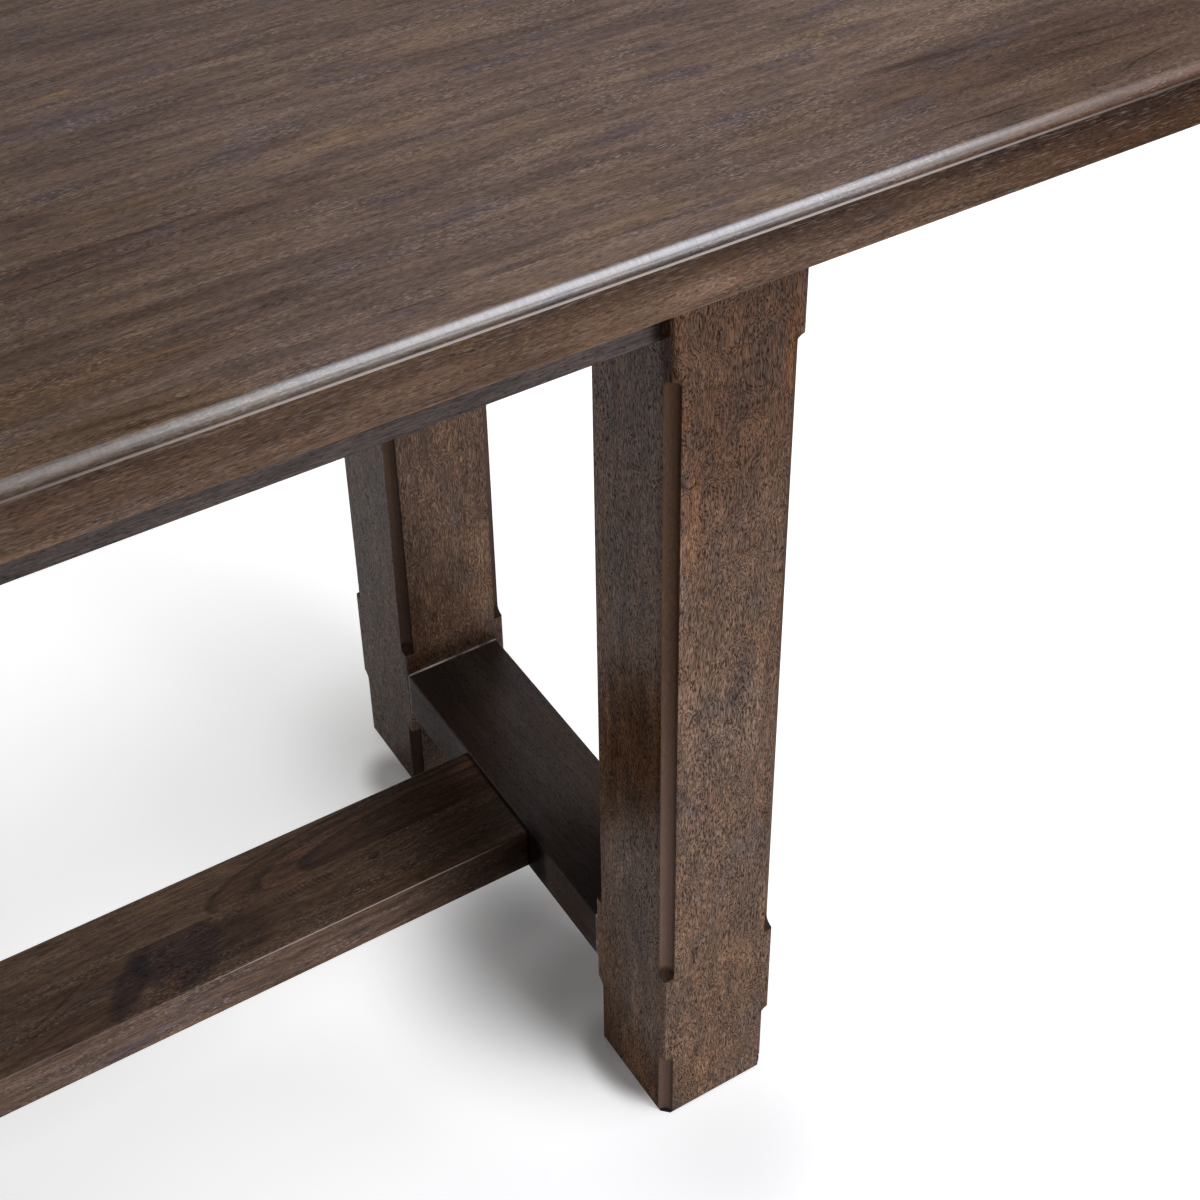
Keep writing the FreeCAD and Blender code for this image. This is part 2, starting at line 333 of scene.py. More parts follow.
# %% [markdown]
# A look is a set of values for one sort of wood. Scales count how many clouds, fibres or pores there are per
# metre along the grain and across it. The legs have wide pores and a curly grain; the rails are calmer.

# %% Looks of the wood
top_look = {
    "wave_scale": (7, 25, 25), "wave": 0.008, "drift": 0.03,
    "pith": (0.2, 0.0, -0.11), "lean": (0, 0.02, 0.03), "rings": 110,
    "fibre_scale": (150, 1000, 1000), "fibre_share": 0.30,
    "streak_scale": (13, 150, 150), "streak_share": 0.24,
    "cloud_scale": (7, 28, 28), "gold_share": 0.8,
    "smoke_scale": (9, 34, 34), "smoke_share": 0.8,
    "crowd_scale": (9, 60, 60), "fleck_scale": (210, 1000, 1000), "fleck_share": 0.72,
    "pore_scale": (200, 1100, 1100), "pore_span": (0.52, 0.68), "pore_share": 0.32,
    "figure_scale": (3, 22, 22), "figure_lines": 160, "figure_share": 0.04,
    "dark": (0.104, 0.068, 0.053), "light": (0.135, 0.089, 0.068), "gold": (0.158, 0.104, 0.070),
    "smoke": (0.092, 0.066, 0.066), "fleck": (0.27, 0.20, 0.16), "end": (0.04, 0.022, 0.014),
    "fray": (0.03, 0.008, 0.008), "relief": 0.3, "lacquer": 0.085, "gloss": 2.2,
}
leg_look = dict(
    top_look, wave_scale=(12, 14, 14), wave=0.05, drift=0.02, pith=(0.1, 0.12, -0.05), rings=60,
    fibre_scale=(45, 700, 700), fibre_share=0.42, streak_scale=(9, 80, 80), streak_share=0.26,
    cloud_scale=(10, 26, 26), smoke_scale=(9, 24, 24),
    pore_scale=(130, 1150, 1150), pore_span=(0.41, 0.58), pore_share=0.80, fleck_share=0.10,
    figure_scale=(14, 20, 20), figure_lines=230, figure_share=0.08,
    dark=(0.154, 0.089, 0.057), light=(0.206, 0.124, 0.083), gold=(0.222, 0.123, 0.072),
    smoke=(0.122, 0.085, 0.074), fray=(0.008, 0.008, 0.03), lacquer=0.42, gloss=1.5)
rail_look = dict(
    top_look, rings=60, pith=(0.1, 0.03, -0.09), fray=(0.012, 0.006, 0.006), lacquer=0.36, gloss=1.5,
    fibre_scale=(60, 900, 900), fibre_share=0.38, streak_share=0.32)
print("values in a look:", len(top_look))

# %% [markdown]
# The top's boards first. No two boards match, so each has its own shift of the grain, and what an eye
# catches in the photograph is put there one by one: dark streaks at the left end of the front board, a line
# that arches across its right end, golden and purple clouds, stain gathered in a smudge. A mark holds its
# centre and half size in millimetres, its slant in degrees, its tint, and its core where it isn't the usual
# one. A mark that is `through` high goes right through its board.

# %% Marks of the top
through = 60
top_marks = {
    1: [
        ((-20, -350, 1060), (95, 4.5, through), (0, 0, -1.5), (0.58, 0.54, 0.50)),
        ((-15, -366, 1060), (90, 3.5, through), (0, 0, -4), (0.62, 0.57, 0.53)),
        ((0, -380, 1060), (85, 4.5, through), (0, 0, -5), (0.55, 0.51, 0.47)),
        ((-40, -370, 1060), (140, 40, through), (0, 0, 0), (0.88, 0.80, 0.64)),
        ((165, -351, 1060), (68, 5, through), (0, 0, -1), (0.52, 0.47, 0.45)),
        ((350, -354, 1060), (62, 4, through), (0, 0, 0), (0.68, 0.65, 0.65)),
        ((430, -361, 1060), (40, 10, through), (0, 0, 0), (1.22, 1.20, 1.15)),
        ((640, -364, 1060), (95, 1.6, through), (0, 0, -3), (0.50, 0.45, 0.43)),
        ((795, -358, 1060), (60, 1.6, through), (0, 0, 14), (0.46, 0.42, 0.40)),
        ((620, -349, 1060), (140, 5, through), (0, 0, 1), (0.60, 0.60, 0.62)),
        ((780, -355, 1060), (300, 70, through), (0, 0, 0), (0.88, 0.84, 0.80), 0.2),
        ((370, -396, 1030), (45, 15, 12), (0, 0, 0), (1.50, 1.55, 1.60)),
        ((230, -396, 1034), (70, 15, 14), (0, 0, 0), (0.82, 0.80, 0.76)),
        ((480, -396, 1040), (80, 15, 14), (0, 0, 0), (0.72, 0.70, 0.68)),
        ((60, -396, 1042), (90, 15, 12), (0, 0, 0), (0.84, 0.82, 0.78)),
    ],
    2: [
        ((-60, -318, 1060), (170, 36, through), (0, 0, 0), (0.92, 0.82, 0.64)),
        ((0, -272, 1060), (170, 12, through), (0, 0, 0), (0.76, 0.70, 0.64)),
        ((112, -301, 1060), (34, 13, through), (0, 0, 0), (0.66, 0.64, 0.64)),
        ((40, -289, 1060), (170, 1.8, through), (0, 0, 0), (1.30, 1.25, 1.15)),
        ((40, -317, 1060), (170, 1.8, through), (0, 0, 0), (1.28, 1.22, 1.12)),
        ((770, -315, 1060), (280, 60, through), (0, 0, -4), (0.84, 0.80, 0.78), 0.2),
        ((665, -283, 1060), (100, 2, through), (0, 0, -5.5), (1.40, 1.35, 1.28)),
        ((650, -269, 1060), (90, 5, through), (0, 0, -4), (0.68, 0.66, 0.68)),
        ((780, -303, 1060), (90, 4, through), (0, 0, -8), (0.70, 0.66, 0.66)),
        ((760, -319, 1060), (80, 4, through), (0, 0, -6), (0.76, 0.69, 0.67)),
    ],
    3: [
        ((60, -190, 1060), (200, 26, through), (0, 0, 0), (0.82, 0.78, 0.80)),
        ((0, -204, 1060), (60, 1.8, through), (0, 0, 4), (0.52, 0.48, 0.48)),
        ((60, -180, 1060), (120, 2.2, through), (0, 0, 0), (0.68, 0.64, 0.66)),
        ((178, -175, 1060), (38, 13, through), (0, 0, 0), (0.74, 0.70, 0.76)),
        ((120, -254, 1060), (150, 2, through), (0, 0, 0.8), (1.22, 1.20, 1.16)),
        ((650, -215, 1060), (190, 40, through), (0, 0, -6), (1.14, 1.11, 1.04)),
    ],
    4: [
        ((8, -126, 1060), (26, 14, through), (0, 0, 0), (0.70, 0.68, 0.75)),
        ((70, -146, 1060), (75, 13, through), (0, 0, 0), (1.06, 1.02, 0.88)),
        ((190, -120, 1060), (22, 11, through), (0, 0, -15), (0.74, 0.70, 0.72)),
        ((255, -139, 1060), (80, 16, through), (0, 0, 0), (1.20, 1.14, 1.06)),
        ((500, -102, 1060), (130, 20, through), (0, 0, 0), (0.84, 0.83, 0.90)),
        ((485, -153, 1060), (95, 2, through), (0, 0, 0), (1.38, 1.32, 1.26)),
        ((600, -160, 1060), (30, 10, through), (0, 0, -8), (0.78, 0.78, 0.76)),
    ],
    5: [
        ((115, -35, 1060), (110, 16, through), (0, 0, 14), (0.84, 0.82, 0.87)),
        ((330, -35, 1060), (110, 24, through), (0, 0, 0), (1.08, 1.06, 1.04)),
    ],
    6: [
        ((80, 33, 1060), (30, 4, through), (0, 0, 0), (1.28, 1.14, 0.95)),
        ((135, 100, 1060), (70, 40, through), (0, 0, 0), (0.86, 0.84, 0.89)),
    ],
}
# Broad tints of the top: painted light falling off towards the left end and a painted brighter band at the
# front middle, with darker wood towards the right end
top_light_and_tone = [
    ((-60, -190, 1067), (260, 260, through), (0.82, 0.77, 0.68)),
    ((100, -288, 1067), (110, 34, through), (0.80, 0.80, 0.84)),
    ((330, -370, 1067), (250, 45, through), (1.26, 1.24, 1.16)),
    ((500, -300, 1067), (80, 40, through), (0.84, 0.82, 0.80)),
    ((800, -320, 1067), (360, 125, through), (0.72, 0.65, 0.57)),
]
shade_core = 0.1
print("boards with marks:", len(top_marks), "broad shades:", len(top_light_and_tone))

# %% [markdown]
# The edge of the top is a round above a narrow ledge. Its shape is in the frame; here it gets the polish of
# many sleeves on the round, a bluish painted sheen on the round, painted shade in the corner under it and
# high on the upright face, a worn ledge with a painted highlight, and a painted highlight on the lower
# arris. Marks would have to be laid along four sides and would fray, so these bands are measured instead:
# inwards from the outer faces, and down from the top's face.

# %% Worn edge and painted light
top_end, top_side, top_face = cad_high
rim_width = 0.0105


def beyond(shader, here, inset, soft=0.0004):
    """1 on the part of the top that lies nearer to its outer faces than the inset, 0 elsewhere."""
    along, across = [shader.math("ABSOLUTE", shader.axis(here, number)) for number in range(2)]
    ends = shader.ramp(along, top_end - inset, top_end - inset + soft)
    sides = shader.ramp(across, top_side - inset, top_side - inset + soft)
    return shader.math("MAXIMUM", ends, sides)


def rim(shader, here):
    """The polish of the round edge, rippled by the router; it fades where the round meets its ledge."""
    along, below = shader.axis(here, 0), top_face - shader.axis(here, 2)
    chatter = shader.ramp(shader.noise(here, (800, 90, 90), 3.0), 0.35, 0.65, 0.82, 1.0)
    band = shader.ramp(below, 0.0060, 0.0018, 0.0, 0.84) * shader.ramp(below, 0.0009, 0.0002, 1.0, 0.72)
    near = shader.ramp(along, 0.12, 0.26, 0.92, 1.0)
    far = shader.ramp(along, 0.54, 0.84, 1.0, 0.54)
    return beyond(shader, here, rim_width) * band * chatter * near * far


def edge_wear_and_light(shader, here, place, colour):
    """Painted light and tone on the top; painted shade, sheen and highlights at the edge; a worn ledge."""
    along, below = shader.axis(here, 0), top_face - shader.axis(here, 2)
    face = beyond(shader, here, 0.0006, 0.0003)
    edge = beyond(shader, here, rim_width)
    for centre, half_size, tint in top_light_and_tone:
        shade = shader.spot(here, centre, half_size, shade_core) * (1 - edge)
        colour = shader.mix(shade, colour, tint, "MULTIPLY")

    # The upright face: painted shade towards its upper edge, darker wood towards its right end, with worn
    # flecks
    far = shader.ramp(along, 0.45, 0.80)
    upper = shader.ramp(below, 0.029, 0.013) * shader.ramp(along, 0.05, 0.45)
    worn = shader.ramp(shader.noise(here, (70, 70, 900), 5.0), 0.56, 0.70) * 0.45
    colour = shader.mix(face, colour, (0.80, 0.68, 0.55), "MULTIPLY")
    colour = shader.mix(face * shader.ramp(below, 0.037, 0.010), colour, (0.64, 0.61, 0.58), "MULTIPLY")
    colour = shader.mix(face * far, colour, (0.46, 0.32, 0.15), "MULTIPLY")
    colour = shader.mix(face * upper, colour, (0.62, 0.52, 0.40), "MULTIPLY")
    colour = shader.mix(face * worn, colour, (0.20, 0.155, 0.125))

    # The round with a bluish painted sheen, painted shade in the corner under it, the worn ledge with a
    # painted highlight, and a painted highlight along the arris at the bottom
    rim_sheen_tint = shader.mix(shader.ramp(along, 0.42, 0.66), (0.72, 0.82, 0.96), (0.78, 0.65, 0.57))
    colour = shader.mix(edge * (1 - face), colour, rim_sheen_tint, "MULTIPLY")
    # Painted shade in the crease under the round
    corner = beyond(shader, here, 0.0040) * shader.ramp(below, 0.0054, 0.0074)
    corner = corner * shader.ramp(below, 0.0090, 0.0086)
    colour = shader.mix(corner, colour, (0.75, 0.69, 0.63), "MULTIPLY")
    # The ledge is worn paler, with a painted highlight strongest near the middle
    ledge = beyond(shader, here, 0.0022) * shader.ramp(below, 0.0090, 0.0087)
    ledge = ledge * shader.ramp(below, 0.0078, 0.0082)
    ledge_wear_and_glint = shader.spot(here, (300, -393, 1058), (520, 60, 60), 0.3)
    colour = shader.mix(ledge * (ledge_wear_and_glint * 0.85 + 0.15), colour, (0.42, 0.36, 0.33))
    # Painted highlight along the lower arris, bluer towards the right end
    arris = beyond(shader, here, 0.0030) * shader.ramp(below, 0.0488, 0.0496)
    colour = shader.mix(arris, colour, (1.5, 1.55, 1.6), "MULTIPLY")
    return shader.mix(arris * far, colour, (1.7, 2.0, 2.6), "MULTIPLY")


# %% [markdown]
# Now each board is finished in turn, with a shift of the grain of its own. One finish for the whole slab
# would let a ring run on across a glue joint, which no real top does.

# %% Finish the boards
board_count = sum(name.startswith("top_board") for name in nodes)
for number in range(1, board_count + 1):
    wood(f"top_board_{number}", "x", top_look, 11.0 * number, top_marks.get(number, ()), edge_wear_and_light, rim)
print("boards finished:", board_count)

# %% [markdown]
# The legs are solid squares glued up from planks. Their pores are wide open and follow a curly grain. Where
# the router has cut the coves, fresh red-brown wood shows, with painted shade on the side of each cove that
# turns from the lamps; where the square blocks keep their corners, the arrises are paler. Only in the coves
# and at those arrises does a leg's face lie far off its axis both ways, so one sum finds them on all four
# legs, and nothing has to be painted by hand.

# %% Coves
block_bottom, block_top, head_bottom = 0.092, 0.209, 0.8995
cove_start = 0.0508
half_step = 0.0005


def coves(shader, here, place):
    """1 in the coves of a leg: they lie off its axis both ways, and stop at the head and the joint block."""
    height = shader.axis(here, 2)
    sides = shader.vector("ABSOLUTE", place)
    off_axis = shader.math("MINIMUM", shader.axis(sides, 1), shader.axis(sides, 2))
    corner = shader.ramp(off_axis, cove_start - half_step, cove_start + half_step)
    in_block, past_block, in_head = [shader.ramp(height, level - half_step, level + half_step)
                                     for level in (block_bottom, block_top, head_bottom)]
    return corner * (1 - (in_block - past_block) - in_head)


def leg_corners(shader, here, place, colour):
    """Colours the coves, darker upwards; paints shade and shadow in them; pales the joint block's arrises.
    """
    height = shader.axis(here, 2)
    sides = shader.vector("ABSOLUTE", place)
    across, deep = shader.axis(sides, 2), shader.axis(sides, 1)
    tint = shader.mix(shader.ramp(height, 0.32, 0.66), (0.150, 0.096, 0.074), (0.082, 0.045, 0.027))
    # Painted shade on the side of each cove that turns from the lamps
    tint = shader.mix(shader.ramp(deep - across, 0.003, 0.0098), tint, (0.42, 0.40, 0.38), "MULTIPLY")
    pocket = shader.ramp(height, 0.226, 0.216) * shader.ramp(height, 0.150, 0.160)
    tint = shader.mix(pocket, tint, (0.26, 0.22, 0.20), "MULTIPLY")
    shadow = shader.ramp(shader.axis(here, 1), 0.0, 0.1) * shader.ramp(height, 0.55, 0.26)
    tint = shader.mix(shadow, tint, (0.40, 0.36, 0.34), "MULTIPLY")
    colour = shader.mix(coves(shader, here, place) * 0.9, colour, tint)
    arris = shader.ramp(across + deep, 0.1188, 0.1203) * shader.ramp(height, 0.30, 0.25)
    return shader.mix(arris, colour, (1.3, 1.35, 1.4), "MULTIPLY")


def cove_dull(shader, here, place):
    """Raw wood in the coves has drunk most of its lacquer."""
    return coves(shader, here, place) * 0.7


# %% [markdown]
# The near leg is what the eye meets first. Its inner face shows the joint between two planks, one of them
# scuffed above the rail. A frayed mark is too soft for such a joint, so that edge is drawn by a sum, and the
# broad tones are marks.

# %% Near leg
plank_joint = -0.2290


def near_leg_corners(shader, here, place, colour):
    """The near leg's inner face: a scuffed plank, stain that ran beside the cove, painted shade at the head.
    """
    wide, deep, height = [shader.axis(here, number) for number in range(3)]
    inner = shader.ramp(wide, 0.3945, 0.3930)
    plank = shader.ramp(deep, plank_joint + half_step, plank_joint - half_step)
    frayed = height + shader.noise(here, (1, 300, 12), 4.0, 2.0) * 0.06
    scuff = shader.ramp(frayed, 0.36, 0.47) * shader.ramp(frayed, 0.63, 0.53)
    colour = shader.mix(inner * plank * scuff, colour, (0.78, 0.66, 0.53), "MULTIPLY")
    colour = shader.mix(inner * (1 - plank), colour, (1.18, 1.10, 0.98), "MULTIPLY")
    run = inner * shader.ramp(deep, -0.3000, -0.3070) * shader.ramp(height, 0.9000, 0.8900)
    colour = shader.mix(run, colour, (0.66, 0.56, 0.46), "MULTIPLY")
    # Painted shade on the strip of inner face in front of the apron, under the top
    corner = shader.ramp(wide, 0.3957, 0.3950) * shader.ramp(deep, -0.3045, -0.3055)
    corner = corner * shader.ramp(height, 0.8990, 0.8996)
    colour = shader.mix(corner, colour, (0.62, 0.58, 0.55), "MULTIPLY")
    return leg_corners(shader, here, place, colour)


def near_leg_dull(shader, here, place):
    """As in the coves; and in the corner at the head, and where the inner face is scuffed."""
    foot = shader.spot(here, (392, -260, 30), (40, 120, 95), 0.3) * 0.6
    scuff = shader.spot(here, (392, -275, 475), (40, 80, 150), 0.3) * 0.45
    corner = shader.spot(here, (392, -321, 960), (10, 18, 90), 0.8) * 0.5
    spots = shader.math("MAXIMUM", shader.math("MAXIMUM", foot, scuff), corner)
    return shader.math("MAXIMUM", spots, cove_dull(shader, here, place))


near_leg_marks = [
    ((453, -321, 900), (160, 15, 260), (0, 0, 0), (0.62, 0.49, 0.37), 0.3),
    ((453, -321, 640), (160, 15, 120), (0, 0, 0), (0.84, 0.80, 0.75), 0.3),
    ((450, -321, 850), (26, 15, 40), (0, 0, 0), (0.74, 0.74, 0.80)),
    ((465, -321, 760), (22, 15, 70), (0, 8, 0), (0.80, 0.81, 0.86)),
    ((415, -321, 740), (12, 15, 100), (0, 0, 0), (1.16, 1.04, 0.88)),
    ((503, -321, 900), (9, 15, 70), (0, 0, 0), (1.30, 1.16, 0.85)),
    ((428, -321, 545), (18, 15, 26), (0, -30, 0), (0.72, 0.76, 0.84)),
    ((440, -321, 505), (22, 15, 12), (0, 20, 0), (0.78, 0.80, 0.86)),
    ((430, -321, 430), (28, 15, 30), (0, 0, 0), (1.10, 1.02, 1.00)),
    ((455, -321, 110), (90, 15, 150), (0, 0, 0), (1.22, 1.17, 1.10)),
    ((405, -321, 650), (16, 15, 190), (0, 0, 0), (1.42, 1.39, 1.34)),
    ((500, -321, 470), (16, 15, 240), (0, 0, 0), (0.86, 0.84, 0.82)),
    ((480, -321, 985), (60, 15, 80), (0, 0, 0), (0.68, 0.63, 0.57)),
    ((392, -288, 895), (15, 40, 80), (0, 0, 0), (0.82, 0.80, 0.78)),
    ((392, -290, 40), (15, 60, 60), (0, 0, 0), (1.12, 1.04, 0.94), 0.5),
    # Painted shade on the inner face under the head
    ((392, -260, 930), (15, 100, 70), (0, 0, 0), (0.74, 0.70, 0.70)),
    ((392, -260, 850), (15, 100, 220), (0, 0, 0), (0.80, 0.74, 0.78), 0.5),
]
wood("leg_front_right", "z", leg_look, 5.0, near_leg_marks, near_leg_corners, None, near_leg_dull)

# %% [markdown]
# The leg behind it is smoother and curlier, with a pale flame low on its front face, and it darkens at the
# rail. The two legs of the other trestle stand outside the picture. They could be copies of these, but a
# knowing eye finds twins at once, so they are left to chance.

# %% Other legs
curly_leg = dict(
    leg_look, pore_share=0.66, figure_share=0.20, dark=(0.142, 0.082, 0.053), light=(0.190, 0.115, 0.077),
    gold=(0.205, 0.114, 0.067), smoke=(0.113, 0.079, 0.068))
far_leg_marks = [
    ((455, 199, 420), (80, 15, 150), (0, 0, 0), (1.16, 1.16, 1.18)),
    ((499, 199, 316), (15, 15, 46), (0, 0, 0), (1.50, 1.50, 1.48)),
    ((482, 199, 250), (36, 15, 46), (0, 0, 0), (1.32, 1.27, 1.20)),
    ((445, 199, 178), (140, 15, 42), (0, 0, 0), (0.38, 0.35, 0.33)),
    ((402, 199, 230), (26, 15, 110), (0, 0, 0), (0.62, 0.56, 0.52)),
    ((452, 199, 300), (14, 15, 60), (0, 0, 0), (0.80, 0.78, 0.78)),
    # Painted shadow on the foot below the rail
    ((450, 199, 80), (80, 15, 60), (0, 0, 0), (0.55, 0.48, 0.42)),
    # A paler, bluer inner face: painted reflection of the white floor
    ((392, 260, 400), (15, 110, 260), (0, 0, 0), (1.12, 1.18, 1.32)),
]
wood("leg_back_right", "z", curly_leg, 31.0, far_leg_marks, leg_corners, None, cove_dull)
wood("leg_front_left", "z", leg_look, 18.0, (), leg_corners, None, cove_dull)
wood("leg_back_left", "z", leg_look, 44.0, (), leg_corners, None, cove_dull)
print("legs finished:", sum(name.startswith("leg") for name in nodes))

# %% [markdown]
# The long stretcher's two pieces were never a match: the back one is tan with dark heartwood that starts in
# a pointed arch, the front one is brown with purple clouds and a patch of curl. The arch could come from the
# rings, but only by luck, so it is drawn as long egg shapes that lie within each other.

# %% Long stretcher
tan = dict(
    rail_look, dark=(0.092, 0.054, 0.037), light=(0.136, 0.083, 0.054), gold=(0.146, 0.088, 0.052),
    smoke=(0.088, 0.058, 0.050), lacquer=0.24)
brown = dict(
    tan, dark=(0.082, 0.046, 0.029), light=(0.116, 0.068, 0.043), gold=(0.122, 0.071, 0.041), wave=0.02)
back_piece_marks = [
    ((48, 24, 177), (26, 12, through), (0, 0, 20), (1.22, 1.18, 1.12)),
    ((70, 54, 177), (85, 16, through), (0, 0, 0), (1.40, 1.38, 1.34)),
    ((388, 45, 177), (34, 30, through), (0, 0, 0), (1.50, 1.50, 1.50)),
    ((350, 16, 177), (280, 49, through), (0, 0, 0), (0.50, 0.45, 0.42), 0.98),
    ((350, 16, 177), (272, 47.6, through), (0, 0, 0), (1.62, 1.62, 1.64), 0.97),
    ((350, 16, 177), (246, 43, through), (0, 0, 0), (0.70, 0.67, 0.66), 0.92),
    ((350, 16, 177), (222, 39, through), (0, 0, 0), (1.85, 1.82, 1.78), 0.96),
    ((350, 16, 177), (184, 32, through), (0, 0, 0), (0.44, 0.44, 0.50), 0.95),
    ((350, 16, 177), (166, 29, through), (0, 0, 0), (1.40, 1.36, 1.28), 0.90),
    # Painted shadow of the near leg on the right end
    ((350, 40, 150), (140, 80, through), (0, 0, 10), (0.60, 0.64, 0.70)),
]
front_piece_marks = [
    # Painted shadow of the near leg on the right end
    ((345, -30, 150), (130, 70, through), (0, 0, 0), (0.54, 0.53, 0.56)),
    ((-90, -16, 177), (60, 2, through), (0, 0, 24), (0.60, 0.55, 0.52)),
    ((-100, -30, 177), (60, 2, through), (0, 0, 20), (0.64, 0.60, 0.57)),
    ((-105, -46, 177), (60, 2, through), (0, 0, 16), (0.68, 0.64, 0.62)),
    ((-26, -30, 177), (54, 18, through), (0, 0, 50), (0.46, 0.44, 0.54), 0.5),
    ((28, -14, 177), (52, 52, through), (0, 0, 0), (0.46, 0.45, 0.58), 0.75),
    ((98, -24, 177), (40, 36, through), (0, 0, 20), (0.60, 0.57, 0.60), 0.4),
    ((14, -46, 177), (16, 10, through), (0, 0, 30), (1.45, 1.28, 1.05), 0.4),
    ((236, -42, 177), (60, 22, through), (0, 0, 0), (1.22, 1.20, 1.18)),
    ((17, -10, 177), (6, 5, through), (0, 0, 0), (0.55, 0.52, 0.56), 0.5),
    ((65, -33, 177), (8, 3, through), (0, 0, 15), (1.8, 1.75, 1.60), 0.5),
    ((245, -10, 177), (9, 5, through), (0, 0, 0), (0.50, 0.47, 0.50), 0.5),
    # A paler, bluer front face on the left: painted sheen
    ((-60, -67, 150), (420, 8, 60), (0, 0, 0), (1.44, 1.58, 1.80), 0.3),
    # Painted shadow of the near leg on the right end of the front face
    ((360, -67, 150), (130, 8, 60), (0, 0, 0), (0.62, 0.58, 0.56), 0.3),
    ((388, -67, 150), (40, 8, 60), (0, 0, 0), (0.45, 0.42, 0.40), 0.3),
    ((195, -67, 146), (16, 10, 12), (0, 0, 0), (0.70, 0.76, 0.84)),
]
# The short ribs of the curly patch
rib_count, rib_spacing = 13, 5
for number in range(rib_count):
    centre = (136 + rib_spacing * number, -9 - number % 3, 177)
    front_piece_marks.append((centre, (1.4, 9, through), (0, 0, 24), (0.56, 0.52, 0.52), 0.4))


def arris_glint_and_end_shade(shader, here, place, colour):
    """The stretcher's front arris has a painted highlight along its middle, and painted shade at its ends.
    """
    along, across, height = [shader.axis(here, number) for number in range(3)]
    # Painted highlight along the front arris, strongest near the middle
    arris = shader.ramp(across, -0.0652, -0.0658) * shader.ramp(height, 0.1744, 0.1750)
    arris_glint = shader.spot(here, (200, -66, 176), (190, 20, 20), 0.5)
    arris_glint = arris_glint * 0.8 + shader.ramp(along, 0.33, 0.20, 0.0, 0.2)
    colour = shader.mix(arris * arris_glint, colour, (0.50, 0.43, 0.38))
    # Painted shade in the joints where the ends meet the rails
    end = shader.ramp(shader.math("ABSOLUTE", along), 0.3895, 0.3910)
    end = end * shader.ramp(across, 0.03, -0.01, 0.5, 1.0)
    return shader.mix(end, colour, (0.15, 0.14, 0.13), "MULTIPLY")


wood("long_stretcher_back_piece", "x", tan, 27.0, back_piece_marks, arris_glint_and_end_shade)
wood("long_stretcher_front_piece", "x", brown, 8.0, front_piece_marks, arris_glint_and_end_shade)

# %% [markdown]
# The low rails have drunk the most stain. Where their shoulders meet the legs, a little glue was left, which
# no stain gets through: a pale line that a mark would fray, so it is a sum again.

# %% Low rails
dark_rail = dict(
    rail_look, dark=(0.042, 0.026, 0.021), light=(0.058, 0.038, 0.031), gold=(0.062, 0.040, 0.030),
    smoke=(0.062, 0.044, 0.043), fleck_share=0.06, fibre_share=0.16, streak_share=0.14)
low_rail_marks = [
    ((450, 165, 180), (90, 70, through), (0, 0, 35), (0.62, 0.68, 0.70)),
    ((392, -120, 140), (15, 100, 60), (0, 0, 0), (0.80, 0.70, 0.60)),
    # Painted contact shadow on the inner face at the stretcher's joint
    ((392, -76, 150), (15, 34, 60), (0, 0, 0), (0.20, 0.20, 0.20)),
    # Painted shadow of the near leg on the rail's near end
    ((440, -185, 185), (90, 90, 20), (0, 0, 0), (0.42, 0.42, 0.46)),
    ((392, 140, 150), (15, 80, 60), (0, 0, 0), (0.86, 0.75, 0.74)),
]


def rail_sheen_shade(shader, here, place):
    """Painted shade on the rail's sheen, at its near end and on its inner face by the stretcher and far end.
    """
    near = shader.spot(here, (430, -150, 165), (110, 120, 80), 0.4) * 0.6
    joint = shader.spot(here, (392, -80, 150), (30, 40, 60), 0.3) * 0.8
    far = shader.spot(here, (392, 140, 150), (30, 90, 60), 0.3) * 0.3
    return shader.math("MAXIMUM", shader.math("MAXIMUM", near, joint), far)


def glue_line(shader, here, place, colour):
    """A little glue has squeezed out along the rail's shoulders, most of it at one spot."""
    end = shader.ramp(shader.math("ABSOLUTE", shader.axis(here, 1)), 0.1958, 0.1966)
    bead = shader.spot(here, (422, 199, 180), (34, 12, 12), 0.2)
    patches = shader.ramp(shader.noise(here, (60, 1, 60), 2.0), 0.40, 0.60, 0.15, 0.55)
    return shader.mix(end * shader.math("MAXIMUM", bead, patches), colour, (0.70, 0.65, 0.60))


wood("low_rail_right", "y", dark_rail, 2.0, low_rail_marks, glue_line, None, rail_sheen_shade)
wood("low_rail_left", "y", dark_rail, 25.0, (), glue_line)

# %% [markdown]
# Aprons and head rails are straight boards in the shade of the top, where little of their grain can be seen.
# They could have marks as rich as the top's, but a darker rail look does as well for the aprons, with the
# top's shade painted into its colour, and one lighter mark on the front apron near the leg.

# %% Aprons and head rails
shaded_apron = dict(
    rail_look, dark=(0.050, 0.036, 0.032), light=(0.066, 0.048, 0.043), gold=(0.066, 0.048, 0.042),
    smoke=(0.056, 0.042, 0.039), fleck_share=0.1)
apron_marks = [((310, -306, 960), (90, 10, 70), (0, 0, 0), (1.3, 1.3, 1.3))]
wood("apron_front", "x", shaded_apron, 3.0, apron_marks)
wood("apron_back", "x", shaded_apron, 20.0)
wood("head_rail_right", "y", rail_look, 6.0)
wood("head_rail_left", "y", rail_look, 35.0)

# %% [markdown]
# Two finishes are not wood: the felt pads under the legs, and the steel bolts under the head rails. Both are
# small, so fine noise is enough: fuzz in the felt, and the crystals of zinc on the steel.

